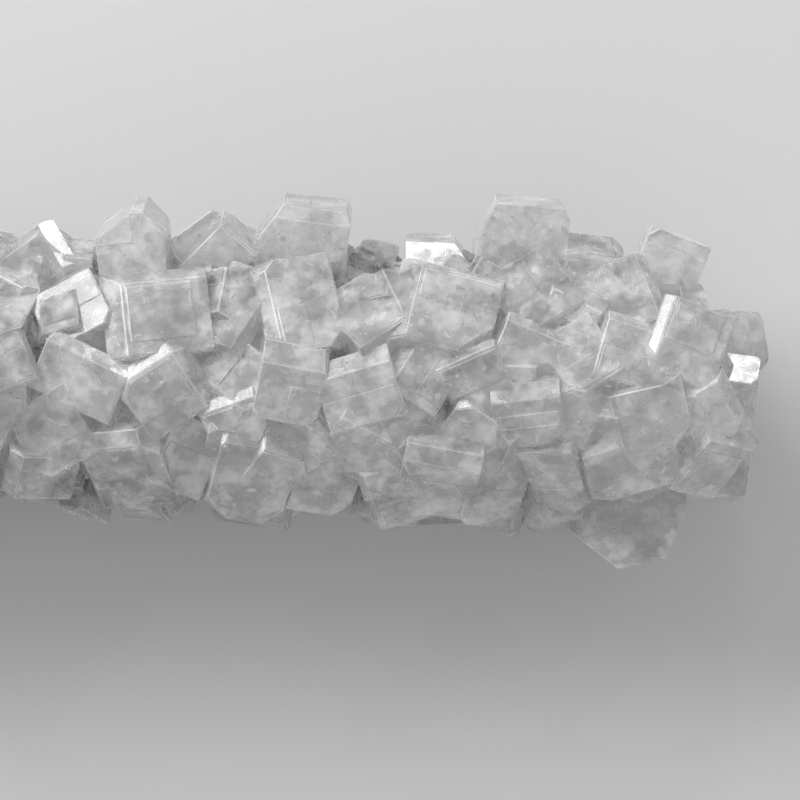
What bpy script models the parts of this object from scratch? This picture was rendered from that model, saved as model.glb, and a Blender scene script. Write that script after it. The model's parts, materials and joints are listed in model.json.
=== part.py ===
"""Rock candy: large sugar crystals grown together in a rough rod, lying on a table.

Lengths are in millimetres until the fused mesh is finished, which is then scaled to metres.
+X runs along the rod towards its free end, +Y across it and +Z up. The rod's axis is level, over Y = 0.
"around" is an angle about that axis: 0 points to +Y, 90 straight up, 180 to -Y and 270 down to the table.
"""

import math
import random
from collections import namedtuple

import bmesh
import bpy
from mathutils import Matrix, Vector

METRES = 0.001
NAME = "rock_candy"

# The rod
ROD_LENGTH = 112.0
AXIS_HEIGHT = 13.7
CORE_RADIUS = 9.0
CORE_SIDES = 12
CORE_TAIL = -ROD_LENGTH / 2 + 5.0
CORE_TIP = ROD_LENGTH / 2 - 6.0

# A crystal's root lies inside the core, this far from the axis
ROOT_RADIUS = 3.0
# A sugar crystal's faces meet at 103 degrees in one of its planes
OBLIQUE = math.radians(13.0)
NO_CUT = (0.0, 0.0)

# along and reach place the middle of a crystal's free face, which stands "reach" from the axis.
# width runs along the rod and depth round it.
# lean tips the crystal towards the free end, pitch tips it round the rod, and spin turns it on its own axis.
# tail, tip, low and high slope off the free face's four sides: (across the face, down the side).
# tail and tip are the sides towards the rod's ends, and high is the side towards a smaller "around".
Crystal = namedtuple(
    "Crystal",
    "along around reach width depth lean pitch spin tail tip low high",
    defaults=(0.0, 0.0, 0.0, NO_CUT, NO_CUT, NO_CUT, NO_CUT),
)

# skew is the lean of two of the sides. corners lists the cut corners: (side along X, side along Y, depth).
Growth = namedtuple("Growth", "skew corners")
CORNER_SHARE = 0.4
CORNER_SIZES = (0.14, 0.36)
CORNER_SLOPE = 0.9

# The crystals along the outline on the +Y side
CREST = [
    Crystal(-16.4, -6, 13.6, 5.0, 6.5, tip=(0.3, 0.4)),
    Crystal(-11.0, 18, 14.8, 6.6, 6.2, tail=(3.3, 2.3), tip=(3.3, 2.4)),
    Crystal(-7.3, 26, 13.3, 2.8, 4.5, lean=6),
    Crystal(-2.8, 17, 16.7, 6.2, 6.6, lean=-6, tail=(3.4, 1.9), tip=(1.7, 2.2)),
    Crystal(2.5, 4, 14.3, 5.2, 6.0, lean=-36),
    Crystal(7.3, 20, 14.4, 4.4, 6.0, lean=42),
    Crystal(13.3, 15, 16.9, 8.6, 7.2, lean=7, tail=(2.3, 3.9), tip=(0.5, 0.9), low=(0.8, 1.2)),
    Crystal(20.1, -12, 12.8, 3.6, 4.6, lean=14),
    Crystal(25.3, 14, 13.3, 5.8, 5.5, lean=2, tip=(1.3, 1.5), low=(1.6, 2.4)),
    Crystal(33.3, 12, 16.9, 8.3, 7.6, lean=5, tail=(1.5, 4.0), tip=(0.5, 1.0), high=(0.9, 1.4)),
    Crystal(39.8, 24, 13.1, 5.8, 7.0, lean=7, tip=(1.0, 0.9)),
    Crystal(47.8, 2, 13.3, 5.9, 6.8, lean=21),
]

# The faces that slant up from the middle towards the +Y side
UPPER = [
    Crystal(-14.4, 56, 13.2, 7.2, 7.6, lean=9, pitch=-6, spin=-17),
    Crystal(-7.8, 58, 13.0, 6.2, 7.4, lean=-12, pitch=8, spin=24, high=(1.6, 1.5)),
    Crystal(0.3, 64, 13.8, 9.5, 8.2, lean=3, pitch=4, spin=8, tail=(1.8, 1.1), high=(1.2, 1.0)),
    Crystal(7.2, 59, 12.9, 5.8, 8.6, lean=-13, pitch=-5, spin=-28, tip=(0.8, 1.0)),
    Crystal(13.0, 60, 13.5, 6.9, 9.2, lean=8, pitch=6, spin=14, tail=(1.0, 0.8)),
    Crystal(18.9, 60, 12.9, 6.4, 7.4, lean=-9, pitch=-11, spin=36),
    Crystal(26.0, 60, 13.8, 9.4, 8.2, lean=6, pitch=4, spin=-12, tail=(1.9, 1.2), high=(1.0, 0.8)),
    Crystal(33.6, 51, 13.2, 6.6, 8.2, lean=-12, pitch=8, spin=26, high=(0.9, 1.1)),
    Crystal(38.6, 52, 13.1, 5.4, 6.8, lean=11, pitch=-10, spin=-32, low=(1.4, 1.3)),
    Crystal(42.4, 54, 13.4, 5.2, 7.2, lean=-10, pitch=9, spin=15, tip=(0.9, 1.2)),
    Crystal(47.5, 76, 13.6, 6.6, 7.0, lean=10, pitch=6, spin=-19, tail=(0.8, 0.7)),
]

# The faces along the middle, some of which stand proud and show their sloping upper edges
MIDDLE = [
    Crystal(-13.6, 84, 14.0, 6.6, 5.2, lean=8, pitch=-9, spin=21, tip=(0.6, 0.9)),
    Crystal(-6.4, 89, 13.4, 8.0, 5.8, lean=-11, pitch=8, spin=-26, high=(1.2, 0.9)),
    Crystal(1.3, 94, 13.7, 7.1, 6.9, lean=7, pitch=9, spin=33, high=(0.9, 1.0), tip=(1.4, 0.9)),
    Crystal(7.2, 89, 13.1, 6.2, 6.0, lean=-14, pitch=-8, spin=-38, low=(1.2, 1.1)),
    Crystal(12.3, 93, 14.2, 5.9, 6.6, lean=9, pitch=10, spin=-11, high=(1.5, 1.4)),
    Crystal(18.2, 94, 13.9, 7.1, 6.7, lean=-5, pitch=9, spin=17, high=(1.6, 1.5)),
    Crystal(24.0, 87, 13.2, 6.0, 6.0, lean=13, pitch=-9, spin=-34, tail=(1.2, 1.0)),
    Crystal(28.7, 92, 13.6, 5.8, 6.6, lean=-9, pitch=6, spin=24, high=(0.7, 0.6)),
    Crystal(33.3, 80, 13.4, 5.8, 6.0, lean=8, pitch=9, spin=-21, high=(1.0, 0.8)),
    Crystal(33.2, 104, 14.3, 6.2, 5.8, lean=-4, pitch=11, spin=8, high=(1.2, 1.3)),
    Crystal(37.9, 81, 13.5, 5.2, 6.3, lean=-12, pitch=-8, spin=31),
    Crystal(42.1, 79, 13.8, 5.0, 5.8, lean=11, pitch=8, spin=-15, high=(0.8, 0.7)),
    Crystal(37.8, 104, 13.6, 5.2, 5.4, lean=11, pitch=6, spin=-27, tip=(0.9, 0.7)),
    Crystal(43.6, 105, 14.0, 7.8, 5.8, lean=-7, pitch=9, spin=16, tail=(1.3, 1.1)),
    Crystal(49.8, 104, 13.0, 5.4, 5.4, lean=12, pitch=6, spin=28, tip=(1.2, 1.4)),
]

# The faces that slant down from the middle towards the -Y side
LOWER = [
    Crystal(-14.7, 106, 13.3, 6.4, 6.0, lean=9, pitch=8, spin=-25, tip=(1.0, 1.3)),
    Crystal(-9.0, 112, 12.9, 6.4, 6.8, lean=-10, pitch=-9, spin=32),
    Crystal(-10.3, 134, 12.9, 6.2, 6.0, lean=11, pitch=7, spin=-14, tail=(1.0, 1.2)),
    Crystal(-2.9, 129, 13.4, 8.2, 9.2, lean=-6, pitch=8, spin=13, high=(1.2, 1.1), tail=(1.0, 1.4)),
    Crystal(3.1, 124, 12.6, 5.4, 7.2, lean=13, pitch=-8, spin=-31),
    Crystal(7.2, 107, 13.3, 5.6, 5.0, lean=-9, pitch=9, spin=22, high=(0.8, 0.7)),
    Crystal(8.7, 131, 13.7, 7.1, 9.4, lean=6, pitch=-7, spin=-15, high=(1.2, 1.2)),
    Crystal(12.6, 116, 13.1, 6.2, 6.0, lean=-12, pitch=8, spin=37, tip=(0.9, 1.3)),
    Crystal(15.4, 136, 13.0, 5.7, 7.2, lean=9, pitch=-9, spin=-20),
    Crystal(18.6, 119, 13.3, 6.6, 6.6, lean=-8, pitch=7, spin=-28, high=(1.0, 0.8)),
    Crystal(21.6, 143, 13.4, 5.9, 7.4, lean=9, pitch=-10, spin=11, tail=(0.8, 1.0)),
    Crystal(25.2, 135, 13.7, 7.0, 9.2, lean=-7, pitch=8, spin=-9, high=(1.4, 1.0)),
    Crystal(23.8, 111, 13.2, 5.6, 6.0, lean=13, pitch=-9, spin=26),
    Crystal(28.4, 113, 13.3, 5.8, 5.4, lean=-11, pitch=10, spin=-33, tip=(0.8, 0.9)),
    Crystal(30.8, 137, 13.4, 5.2, 9.2, lean=11, pitch=-9, spin=-16),
    Crystal(35.4, 135, 13.3, 6.0, 9.2, lean=-12, pitch=8, spin=14, tail=(1.1, 1.4)),
    Crystal(42.6, 124, 13.2, 8.4, 6.8, lean=7, pitch=-6, spin=14, high=(1.6, 1.4)),
    Crystal(50.2, 130, 12.9, 5.8, 6.8, lean=11, pitch=8, spin=-27, tip=(1.0, 1.2)),
]

# The crystals along the outline on the -Y side
KEEL = [
    Crystal(-16.6, 184, 9.1, 5.6, 6.0, lean=-12, spin=9),
    Crystal(-10.6, 166, 11.0, 6.6, 6.4, lean=1, spin=-4, tail=(0.9, 1.2)),
    Crystal(-6.3, 182, 11.5, 2.4, 3.0, lean=-6, tail=(1.0, 0.9), tip=(1.0, 0.9)),
    Crystal(-2.3, 168, 12.7, 5.8, 6.6, lean=-5, spin=5, tail=(1.1, 1.0), tip=(0.4, 1.4)),
    Crystal(3.1, 188, 10.2, 3.2, 5.0, lean=-20, spin=12),
    Crystal(8.0, 166, 13.1, 7.0, 7.0, lean=-9, spin=2, high=(1.0, 1.3)),
    Crystal(15.2, 184, 12.0, 4.4, 6.0, lean=-17, spin=-8),
    Crystal(19.9, 163, 13.3, 3.4, 5.2, lean=-8, spin=6),
    Crystal(25.0, 178, 13.5, 7.4, 6.6, lean=2, spin=-3, low=(1.0, 1.0)),
    Crystal(31.0, 187, 13.9, 4.3, 6.2, lean=-17, spin=7),
    Crystal(36.0, 167, 13.8, 4.7, 6.4, lean=9, spin=-5, tail=(1.2, 1.0)),
    Crystal(43.7, 182, 16.8, 11.2, 11.4, lean=11, tail=(3.7, 4.3), tip=(3.0, 4.4), low=(2.6, 2.4)),
]

# The crystals that stand on the table, each on its level free face
FEET = [
    Crystal(-41.0, 262, 13.9, 6.8, 5.6, spin=18, tail=(0.8, 0.9), low=(0.9, 1.0)),
    Crystal(-22.5, 276, 13.9, 5.8, 6.6, spin=-24, tip=(0.9, 1.1), high=(0.8, 0.9)),
    Crystal(0.5, 268, 13.9, 7.4, 6.4, spin=9, tail=(1.0, 1.0), tip=(0.7, 1.1)),
    Crystal(21.0, 278, 13.9, 6.0, 5.8, spin=-15, low=(1.1, 1.0)),
    Crystal(41.5, 264, 13.9, 7.0, 6.8, spin=28, high=(1.0, 1.2), tip=(0.8, 0.8)),
]

# Crystals at the free end face along +X. reach is then how far the face stands along the rod, along is
# how far it stands from the axis, and around is the side of the axis that it stands towards.
FREE_END = [
    Crystal(2.6, -10, 55.6, 7.0, 8.0, lean=-8, tail=(0.4, 1.6), tip=(2.0, 2.0), high=(1.4, 1.2)),
    Crystal(-2.4, -10, 53.9, 4.6, 7.0),
    Crystal(-7.9, -6, 54.1, 6.9, 7.4, lean=8, tail=(1.2, 2.6), tip=(0.3, 0.4), high=(1.1, 1.5)),
]

# Narrow crystals between the listed ones, each with one face that catches the light
SLIVERS = [
    Crystal(-9.2, 29, 14.2, 1.6, 5.2, lean=8, pitch=33, spin=34),
    Crystal(52.5, 82, 7.4, 4.0, 3.0, lean=-3, pitch=-22, spin=-10),
]

# Low on the -Y side, where the outline keeps the listed crystals short
FLANK = [
    Crystal(-21.2, 208, 12.8, 6.2, 6.6, lean=7, pitch=-7, spin=18, tip=(1.0, 1.2)),
    Crystal(-14.4, 212, 10.5, 6.4, 6.2, lean=-8, pitch=6, spin=-14),
    Crystal(-9.0, 203, 10.9, 6.0, 6.4, lean=8, pitch=-5, spin=20),
    Crystal(-8.4, 224, 12.8, 6.2, 6.0, lean=-6, pitch=6, spin=-24, tail=(0.9, 1.1)),
    Crystal(-3.0, 211, 12.5, 6.0, 6.6, lean=8, pitch=-6, spin=-12, high=(1.0, 0.9)),
    Crystal(-1.6, 232, 13.0, 5.8, 5.6, lean=-5, pitch=7, spin=26),
    Crystal(3.2, 215, 11.2, 5.8, 6.4, lean=7, pitch=5, spin=22),
    Crystal(8.8, 208, 13.2, 6.2, 6.6, lean=-8, pitch=-5, spin=-18, tip=(1.1, 1.0)),
]

# Grown at random: the underside, the rest of the length and both ends
SEED = 24
SHOWN_ROWS = (10.0, 52.0, 92.0, 132.0, 172.0)
UNDER_ROWS = (216.0, 250.0, 290.0, 324.0)
SHOWN_TAIL = -19.0  # the listed crystals start here
PITCH_ALONG = 6.6
JITTER_ALONG = 1.1
JITTER_AROUND = 5.0
SIZES = (5.2, 9.2)
TILT = 12.0
SPIN = 30.0
UNCUT_SHARE = 0.45  # sides of the free face that are left uncut
CUT_ACROSS = (0.1, 0.32)
CUT_STEEPNESS = (0.6, 1.7)
SHOWN_REACH = (12.6, 14.6)
UNDER_REACH = (12.0, 13.0)
TALL_SHARE = 0.22
TALL_EXTRA = (1.4, 2.8)
UNDER_SPREAD = 12.6  # how far the underside's crystals stand out sideways
BEHIND_OUTLINE = 0.9
MOST_LOWERED = 3.5
END_LENGTH = 12.0
END_SIZES = (5.2, 7.6)
END_RINGS = ((3, 2.4, 1.2, (4.0, 14.0)), (8, 6.4, 3.0, (16.0, 34.0)))  # count, radius, set back, outward lean
END_JITTER_AROUND = 12.0
END_JITTER_RADIUS = 0.8
END_JITTER_REACH = 1.2
FREE_END_BACK = 2.6  # the free end's rings stay behind the listed crystals
CORE_MARGIN = 2.0  # the rows on the side stop this far short of the core's ends
SMALL_CRYSTALS = 70
SMALL_SIZES = (2.2, 4.2)
SMALL_REACH = (12.0, 13.4)
SMALL_TILT = 40.0
SMALL_SPIN = 45.0
SMALL_ROOT = 1.0  # how deep a small crystal's root goes into the core

# Many crystals have a smaller twin that grows out of the same place, turned and mostly less tall.
# share is how many have one, slide how far it moves along in crystal widths, sunk how much lower its
# face stands, and turn how far it is turned.
Twins = namedtuple("Twins", "share slide sunk turn")
OUTLINE_TWINS = Twins(0.55, 0.0, (1.6, 2.6), (18.0, 45.0))
FRONT_TWINS = Twins(0.5, 0.4, (-0.1, 1.0), (12.0, 40.0))
ROW_TWINS = Twins(0.55, 0.4, (-0.8, 0.7), (18.0, 45.0))
TWIN_SIZES = (0.5, 0.85)
TWIN_MOVED_ROUND = 0.4

# Clearing up after the union
WELD = 0.0005


def clear_scene():
    for old in list(bpy.data.objects):
        bpy.data.objects.remove(old, do_unlink=True)


def new_collection(name):
    made = bpy.data.collections.new(name)
    bpy.context.scene.collection.children.link(made)
    return made


def slice_off(bm, point, normal):
    """Cuts away what lies beyond a plane and closes the cut."""
    cut = bmesh.ops.bisect_plane(
        bm,
        geom=bm.verts[:] + bm.edges[:] + bm.faces[:],
        dist=1e-5,
        plane_co=point,
        plane_no=normal,
        clear_outer=True,
    )
    rim = [e for e in cut["geom_cut"] if isinstance(e, bmesh.types.BMEdge)]
    if rim:
        bmesh.ops.edgeloop_fill(bm, edges=rim)


def trim_side(bm, side, half_size, cut):
    """Slopes off the free face towards one side, by cut[0] across the face and cut[1] down the side."""
    across, down = cut
    if across <= 0 or down <= 0:
        return
    edge = side * (half_size - across)
    slice_off(bm, edge, (side * down + Vector((0, 0, across))).normalized())


def crystal_block(crystal, length, growth):
    """The crystal's block, its free face at Z = 0 and its root below."""
    bm = bmesh.new()
    bmesh.ops.create_cube(bm, size=1.0)
    bmesh.ops.scale(bm, verts=bm.verts, vec=(crystal.width, crystal.depth, length))
    bmesh.ops.translate(bm, verts=bm.verts, vec=(0, 0, -length / 2))
    trim_side(bm, Vector((-1, 0, 0)), crystal.width / 2, crystal.tail)
    trim_side(bm, Vector((1, 0, 0)), crystal.width / 2, crystal.tip)
    trim_side(bm, Vector((0, -1, 0)), crystal.depth / 2, crystal.low)
    trim_side(bm, Vector((0, 1, 0)), crystal.depth / 2, crystal.high)
    for side_x, side_y, size in growth.corners:
        corner = Vector((side_x * crystal.width / 2, side_y * crystal.depth / 2, -size))
        slice_off(bm, corner, Vector((side_x, side_y, CORNER_SLOPE)).normalized())
    shear = Matrix.Identity(4)
    shear[1][2] = math.tan(growth.skew)
    bmesh.ops.transform(bm, matrix=shear, verts=bm.verts)
    bmesh.ops.recalc_face_normals(bm, faces=bm.faces)
    return bm


def own_turn(crystal):
    """The crystal's own lean, pitch and spin about the middle of its free face."""
    return (
        Matrix.Rotation(math.radians(crystal.lean), 4, "Y")
        @ Matrix.Rotation(math.radians(crystal.pitch), 4, "X")
        @ Matrix.Rotation(math.radians(crystal.spin), 4, "Z")
    )


def on_side(crystal):
    """Where a crystal on the rod's side stands."""
    return (
        Matrix.Translation((0, 0, AXIS_HEIGHT))
        @ Matrix.Rotation(math.radians(crystal.around - 90), 4, "X")
        @ Matrix.Translation((crystal.along, 0, crystal.reach))
        @ own_turn(crystal)
    )


def on_end(crystal, facing):
    """Where a crystal on an end stands: facing is 1 for the free end and -1 for the other."""
    return (
        Matrix.Translation((0, 0, AXIS_HEIGHT))
        @ Matrix.Rotation(math.radians(crystal.around), 4, "X")
        @ Matrix.Translation((facing * crystal.reach, crystal.along, 0))
        @ Matrix.Rotation(math.radians(facing * 90), 4, "Y")
        @ Matrix.Rotation(math.radians(-90), 4, "Z")
        @ own_turn(crystal)
    )


def random_growth(rng, crystal):
    """How the crystal's sides lean, and which corners of its free face are cut off."""
    smaller = min(crystal.width, crystal.depth)
    corners = [
        (side_x, side_y, rng.uniform(*CORNER_SIZES) * smaller)
        for side_x, side_y in ((-1, -1), (-1, 1), (1, -1), (1, 1))
        if rng.random() < CORNER_SHARE
    ]
    return Growth(rng.choice((-OBLIQUE, 0.0, OBLIQUE)), corners)


def add_crystal(group, rng, crystal, placing, length):
    bm = crystal_block(crystal, length, random_growth(rng, crystal))
    mesh = bpy.data.meshes.new("crystal")
    bm.to_mesh(mesh)
    bm.free()
    mesh.transform(placing)
    group.objects.link(bpy.data.objects.new("crystal", mesh))


def random_cut(rng, size):
    """A slope that trims one side, or none."""
    if rng.random() < UNCUT_SHARE:
        return NO_CUT
    across = rng.uniform(*CUT_ACROSS) * size
    return (across, across * rng.uniform(*CUT_STEEPNESS))


def random_crystal(rng, along, around, reach, sizes, tilt, spin):
    width = rng.uniform(*sizes)
    depth = rng.uniform(*sizes)
    return Crystal(
        along,
        around,
        reach,
        width,
        depth,
        lean=rng.uniform(-tilt, tilt),
        pitch=rng.uniform(-tilt, tilt),
        spin=rng.uniform(-spin, spin),
        tail=random_cut(rng, width),
        tip=random_cut(rng, width),
        low=random_cut(rng, depth),
        high=random_cut(rng, depth),
    )


def twin_of(rng, crystal, twins):
    """A smaller crystal grown through the first."""
    scale = rng.uniform(*TWIN_SIZES)
    moved_round = rng.uniform(-TWIN_MOVED_ROUND, TWIN_MOVED_ROUND) * crystal.depth / crystal.reach
    width = crystal.width * scale
    depth = crystal.depth * scale
    return crystal._replace(
        along=crystal.along + rng.uniform(-twins.slide, twins.slide) * crystal.width,
        around=crystal.around + math.degrees(moved_round),
        reach=crystal.reach - rng.uniform(*twins.sunk),
        width=width,
        depth=depth,
        lean=crystal.lean + rng.uniform(-TILT, TILT),
        pitch=crystal.pitch + rng.uniform(-TILT, TILT),
        spin=crystal.spin + rng.choice((-1, 1)) * rng.uniform(*twins.turn),
        tail=random_cut(rng, width),
        tip=random_cut(rng, width),
        low=random_cut(rng, depth),
        high=random_cut(rng, depth),
    )


def side_limit(crystal):
    """How far an unlisted crystal may stand out sideways, behind the listed crystals that it meets."""
    listed = CREST if math.cos(math.radians(crystal.around)) > 0 else KEEL
    met = [c.reach for c in listed if abs(c.along - crystal.along) < (c.width + crystal.width) / 2]
    return min(met) - BEHIND_OUTLINE if met else UNDER_SPREAD


def kept_in(crystal):
    """The same crystal, lowered so that it stays behind the outline."""
    turn = math.radians(crystal.around)
    spin = math.radians(crystal.spin)
    half = crystal.depth / 2 * abs(math.cos(spin)) + crystal.width / 2 * abs(math.sin(spin))
    spread = crystal.reach * abs(math.cos(turn)) + half * abs(math.sin(turn))
    lower = max(0.0, spread - side_limit(crystal)) / max(abs(math.cos(turn)), 0.1)
    return crystal._replace(reach=crystal.reach - min(lower, MOST_LOWERED))


def grow_side(group, rng, crystal):
    add_crystal(group, rng, crystal, on_side(crystal), crystal.reach - ROOT_RADIUS)


def grow_listed(group, rng):
    """The crystals in the lists, many with a twin."""
    for crystals, twins in ((CREST + KEEL, OUTLINE_TWINS), (UPPER + MIDDLE + LOWER, FRONT_TWINS)):
        for crystal in crystals:
            grow_side(group, rng, crystal)
            if rng.random() < twins.share:
                grow_side(group, rng, twin_of(rng, crystal, twins))
    for crystal in FEET:
        grow_side(group, rng, crystal)
    for crystal in FREE_END:
        add_crystal(group, rng, crystal, on_end(crystal, 1), END_LENGTH)


def grow_rows(group, rng):
    """The rows that no list holds: the underside, and every row behind the listed stretch."""
    for around in SHOWN_ROWS + UNDER_ROWS:
        under = around in UNDER_ROWS
        tip = CORE_TIP - CORE_MARGIN if under else SHOWN_TAIL
        along = CORE_TAIL + rng.uniform(0.0, PITCH_ALONG)
        while along < tip:
            crystal = random_crystal(
                rng,
                along + rng.uniform(-JITTER_ALONG, JITTER_ALONG),
                around + rng.uniform(-JITTER_AROUND, JITTER_AROUND),
                rng.uniform(*(UNDER_REACH if under else SHOWN_REACH)),
                SIZES,
                TILT,
                SPIN,
            )
            if not under and rng.random() < TALL_SHARE:
                crystal = crystal._replace(reach=crystal.reach + rng.uniform(*TALL_EXTRA))
            grown = [crystal]
            if rng.random() < ROW_TWINS.share:
                grown.append(twin_of(rng, crystal, ROW_TWINS))
            for each in grown:
                grow_side(group, rng, kept_in(each) if under else each)
            along += PITCH_ALONG


def grow_ends(group, rng):
    """Rings of crystals that close the two ends and lean outwards."""
    for facing in (-1, 1):
        for count, radius, set_back, leans in END_RINGS:
            for n in range(count):
                around = 360.0 * n / count + rng.uniform(-END_JITTER_AROUND, END_JITTER_AROUND)
                reach = ROD_LENGTH / 2 - set_back - rng.uniform(0.0, END_JITTER_REACH)
                if facing > 0 and math.cos(math.radians(around)) > 0:
                    reach -= FREE_END_BACK
                off_axis = radius + rng.uniform(-END_JITTER_RADIUS, END_JITTER_RADIUS)
                crystal = random_crystal(rng, off_axis, around, reach, END_SIZES, TILT, SPIN)
                crystal = crystal._replace(lean=-facing * rng.uniform(*leans))
                add_crystal(group, rng, crystal, on_end(crystal, facing), END_LENGTH)


def grow_small(group, rng):
    """The small crystals that fill the clefts between the large ones."""
    for _ in range(SMALL_CRYSTALS):
        along = rng.uniform(CORE_TAIL + CORE_MARGIN, CORE_TIP - CORE_MARGIN)
        around = rng.uniform(0.0, 360.0)
        reach = rng.uniform(*SMALL_REACH)
        crystal = kept_in(random_crystal(rng, along, around, reach, SMALL_SIZES, SMALL_TILT, SMALL_SPIN))
        add_crystal(group, rng, crystal, on_side(crystal), crystal.reach - CORE_RADIUS + SMALL_ROOT)


def grow_last(group, rng):
    """The narrow crystals, and those low on the -Y side."""
    for crystal in SLIVERS + FLANK:
        grow_side(group, rng, crystal)


def make_core():
    bpy.ops.mesh.primitive_cylinder_add(
        vertices=CORE_SIDES,
        radius=CORE_RADIUS,
        depth=CORE_TIP - CORE_TAIL,
        location=((CORE_TIP + CORE_TAIL) / 2, 0, AXIS_HEIGHT),
        rotation=(0, math.radians(90), 0),
    )
    core = bpy.context.object
    core.name = NAME
    core.data.transform(core.matrix_world)
    core.matrix_world = Matrix.Identity(4)
    return core


def apply_modifiers(obj):
    graph = bpy.context.evaluated_depsgraph_get()
    finished = bpy.data.meshes.new_from_object(obj.evaluated_get(graph))
    obj.modifiers.clear()
    obj.data = finished
    obj.data.name = NAME


def fuse(core, group):
    """One union joins every crystal to the core."""
    union = core.modifiers.new("fuse", "BOOLEAN")
    union.operation = "UNION"
    union.operand_type = "COLLECTION"
    union.collection = group
    union.solver = "MANIFOLD"
    apply_modifiers(core)
    for crystal in list(group.objects):
        bpy.data.objects.remove(crystal, do_unlink=True)
    bpy.data.collections.remove(group)


def cut_at_table(obj):
    """The feet end level, in one plane at Z = 0."""
    side = 3 * ROD_LENGTH
    bpy.ops.mesh.primitive_cube_add(size=side, location=(0, 0, -side / 2))
    table = bpy.context.object
    cut = obj.modifiers.new("feet", "BOOLEAN")
    cut.operation = "DIFFERENCE"
    cut.object = table
    cut.solver = "MANIFOLD"
    apply_modifiers(obj)
    bpy.data.objects.remove(table, do_unlink=True)


def shells(bm):
    """The mesh's separate closed surfaces, each as a set of faces."""
    left = set(bm.faces)
    found = []
    while left:
        shell, edge = set(), [left.pop()]
        while edge:
            face = edge.pop()
            shell.add(face)
            near = {f for e in face.edges for f in e.link_faces} & left
            left -= near
            edge.extend(near)
        found.append(shell)
    return found


def keep_largest_shell(obj):
    """Fills sealed hollows and drops loose scraps."""
    bm = bmesh.new()
    bm.from_mesh(obj.data)
    bmesh.ops.remove_doubles(bm, verts=bm.verts, dist=WELD)
    spare = [face for shell in sorted(shells(bm), key=len)[:-1] for face in shell]
    bmesh.ops.delete(bm, geom=spare, context="FACES")
    bmesh.ops.triangulate(bm, faces=bm.faces)
    bm.to_mesh(obj.data)
    bm.free()


def sugar():
    material = bpy.data.materials.new("sugar")
    material.use_nodes = True
    shader = material.node_tree.nodes["Principled BSDF"]
    shader.inputs["Base Color"].default_value = (0.62, 0.62, 0.62, 1.0)
    shader.inputs["Roughness"].default_value = 0.12
    shader.inputs["Metallic"].default_value = 0.0
    return material


def main():
    clear_scene()
    rng = random.Random(SEED)
    crystals = new_collection("crystals")
    grow_listed(crystals, rng)
    grow_rows(crystals, rng)
    grow_ends(crystals, rng)
    grow_small(crystals, rng)
    grow_last(crystals, rng)
    candy = make_core()
    fuse(candy, crystals)
    cut_at_table(candy)
    keep_largest_shell(candy)
    candy.data.transform(Matrix.Scale(METRES, 4))
    candy.data.materials.append(sugar())
    made = new_collection(NAME)
    for old in list(candy.users_collection):
        old.objects.unlink(candy)
    made.objects.link(candy)


main()
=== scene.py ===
"""Rock candy: the looks of a rough rod of large sugar crystals that lies on a pale table.

Lengths are in millimetres until a piece is finished, and its mesh is then scaled to metres.
+X runs along the rod towards its free end, +Y across it and +Z up. The rod's axis is level, over Y = 0.
"around" is an angle about that axis: 0 points to +Y, 90 straight up, 180 to -Y and 270 down to the table.
"""

import json
import math
import random
from collections import namedtuple

import bmesh
import bpy
from mathutils import Matrix, Vector

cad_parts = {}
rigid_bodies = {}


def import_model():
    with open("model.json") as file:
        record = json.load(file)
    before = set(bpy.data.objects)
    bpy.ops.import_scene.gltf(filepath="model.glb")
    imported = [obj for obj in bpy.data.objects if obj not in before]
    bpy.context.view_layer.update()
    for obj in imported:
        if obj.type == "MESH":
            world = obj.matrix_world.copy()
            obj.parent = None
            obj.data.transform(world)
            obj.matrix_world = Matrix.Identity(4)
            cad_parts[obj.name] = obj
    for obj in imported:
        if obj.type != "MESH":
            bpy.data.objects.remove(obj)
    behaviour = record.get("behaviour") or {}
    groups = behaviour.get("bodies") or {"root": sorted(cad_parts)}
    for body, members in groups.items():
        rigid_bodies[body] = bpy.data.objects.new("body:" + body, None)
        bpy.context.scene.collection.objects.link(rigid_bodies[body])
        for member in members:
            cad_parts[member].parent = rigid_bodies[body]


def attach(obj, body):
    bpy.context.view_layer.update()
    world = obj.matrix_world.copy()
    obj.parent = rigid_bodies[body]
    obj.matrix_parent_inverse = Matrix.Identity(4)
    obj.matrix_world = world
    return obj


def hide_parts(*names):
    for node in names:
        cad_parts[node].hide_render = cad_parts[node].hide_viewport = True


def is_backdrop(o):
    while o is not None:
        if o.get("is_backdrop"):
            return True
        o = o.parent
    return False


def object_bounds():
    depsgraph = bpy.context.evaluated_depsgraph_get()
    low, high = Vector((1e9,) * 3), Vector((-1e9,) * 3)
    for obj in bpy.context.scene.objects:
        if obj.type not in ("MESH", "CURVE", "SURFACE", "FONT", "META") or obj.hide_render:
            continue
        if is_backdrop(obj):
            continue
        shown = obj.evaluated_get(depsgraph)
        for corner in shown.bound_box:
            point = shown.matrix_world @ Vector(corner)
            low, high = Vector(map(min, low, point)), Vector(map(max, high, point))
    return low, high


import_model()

CAD_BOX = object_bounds()

METRES = 0.001
NODE = "rock_candy"

# The rod
ROD_LENGTH = 112.0
AXIS_HEIGHT = 13.7
CORE_RADIUS = 9.0
CORE_SIDES = 12
CORE_TAIL = -ROD_LENGTH / 2 + 5.0
CORE_TIP = ROD_LENGTH / 2 - 6.0

# A crystal's root lies inside the core, this far from the axis
ROOT_RADIUS = 3.0
# A sugar crystal's faces meet at 103 degrees in one of its planes
OBLIQUE = math.radians(13.0)
NO_CUT = (0.0, 0.0)

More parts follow.
